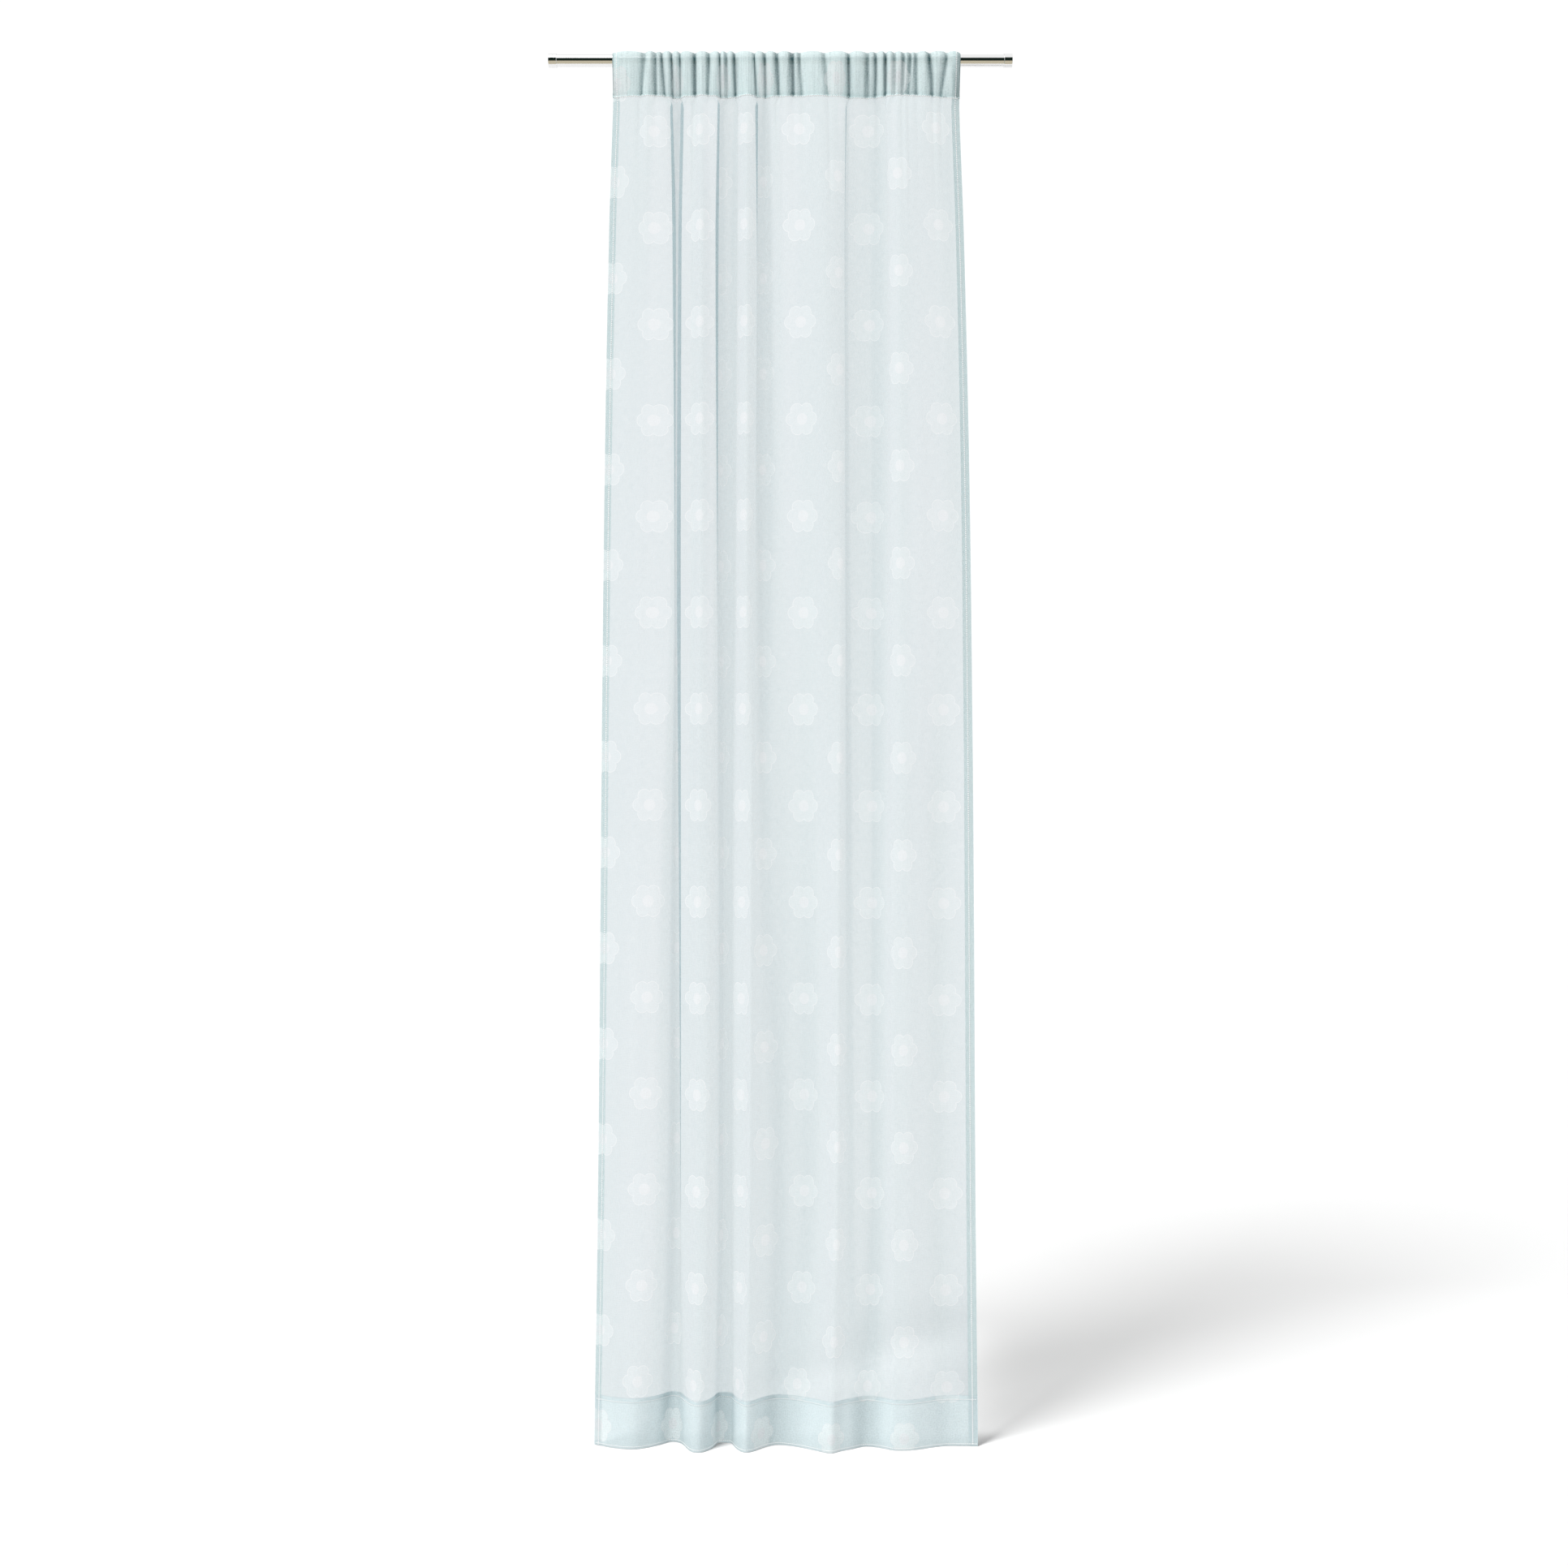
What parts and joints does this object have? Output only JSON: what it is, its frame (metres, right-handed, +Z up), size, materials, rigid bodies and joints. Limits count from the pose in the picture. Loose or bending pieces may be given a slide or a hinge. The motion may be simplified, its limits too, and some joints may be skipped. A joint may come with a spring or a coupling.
{
  "type": "sheer voile curtain panel with its rod",
  "caption": "Sheer voile curtain gathered by its rod pocket on a plain bright tube with end caps, falling in uneven soft folds to a stitched hem.",
  "frame": {"origin": "middle of the rod's axis", "axes": "+X along the rod, to the right as seen from the room; +Y away from the room, towards the window; +Z up"},
  "size_m": [0.803, 0.0685, 2.4146],
  "materials": {
    "voile": "sheer slub voile, faintly blue-white, with woven outlined flowers",
    "rod_metal": "polished",
    "cap_metal": "polished"
  },
  "bodies": {
    "root": {"curtain_panel": "voile", "rod_tube": "rod_metal", "end_cap_left": "cap_metal", "end_cap_right": "cap_metal"}
  },
  "joints": []
}
